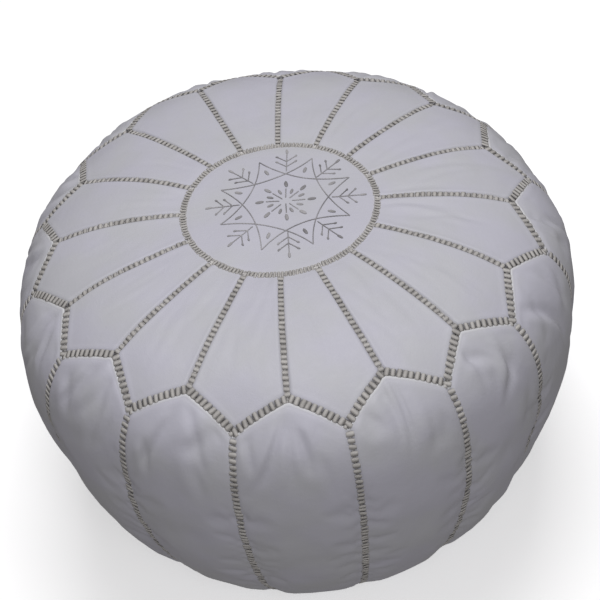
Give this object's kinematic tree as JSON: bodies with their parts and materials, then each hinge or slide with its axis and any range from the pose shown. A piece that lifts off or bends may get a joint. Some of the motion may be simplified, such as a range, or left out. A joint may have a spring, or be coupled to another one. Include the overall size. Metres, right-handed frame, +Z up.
{
  "type": "leather pouf",
  "caption": "Round stuffed leather pouf with an embroidered medallion, petal panels, a zigzag seam, staggered side panels and a zip in the base.",
  "frame": {"origin": "centre of the underside, on the floor", "axes": "+Z up through the middle of the medallion, -Y towards the seam that faces the viewer, the zip runs along X"},
  "size_m": [0.55, 0.55, 0.3489],
  "materials": {
    "leather": "satin",
    "seam_thread": "matte",
    "embroidery_thread": "matte",
    "filling": "matte",
    "zip_tape": "matte",
    "zip_teeth": "satin",
    "zip_metal": "satin"
  },
  "bodies": {
    "pouf_body": {"medallion": "leather", "petal_01": "leather", "petal_02": "leather", "petal_03": "leather", "petal_04": "leather", "petal_05": "leather", "petal_06": "leather", "petal_07": "leather", "petal_08": "leather", "petal_09": "leather", "petal_10": "leather", "petal_11": "leather", "petal_12": "leather", "petal_13": "leather", "petal_14": "leather", "petal_15": "leather", "petal_16": "leather", "side_panel_01": "leather", "side_panel_02": "leather", "side_panel_03": "leather", "side_panel_04": "leather", "side_panel_05": "leather", "side_panel_06": "leather", "side_panel_07": "leather", "side_panel_08": "leather", "side_panel_09": "leather", "side_panel_10": "leather", "side_panel_11": "leather", "side_panel_12": "leather", "side_panel_13": "leather", "side_panel_14": "leather", "side_panel_15": "leather", "side_panel_16": "leather", "base_panel_front": "leather", "base_panel_back": "leather", "medallion_seam": "seam_thread", "petal_seams": "seam_thread", "zigzag_seam": "seam_thread", "side_seams": "seam_thread", "base_seam": "seam_thread", "base_cross_seams": "seam_thread", "medallion_embroidery": "embroidery_thread", "filling": "filling", "zip_tape_front": "zip_tape", "zip_tape_back": "zip_tape", "zip_teeth_front": "zip_teeth", "zip_teeth_back": "zip_teeth", "zip_top_stops": "zip_teeth", "zip_bottom_stop": "zip_teeth"},
    "zip_slider": {"zip_slider": "zip_metal"},
    "zip_pull": {"zip_pull": "zip_metal"}
  },
  "joints": [
    {"name": "zip_slide", "type": "slide", "parent": "pouf_body", "child": "zip_slider", "axis": [-1, 0, 0], "range_m": [0, 0.264]},
    {"name": "pull_flip", "type": "hinge", "parent": "zip_slider", "child": "zip_pull", "pos_m": [0.138, 0, 0.0032], "axis": [0, -1, 0], "range_deg": [-5, 140]}
  ]
}
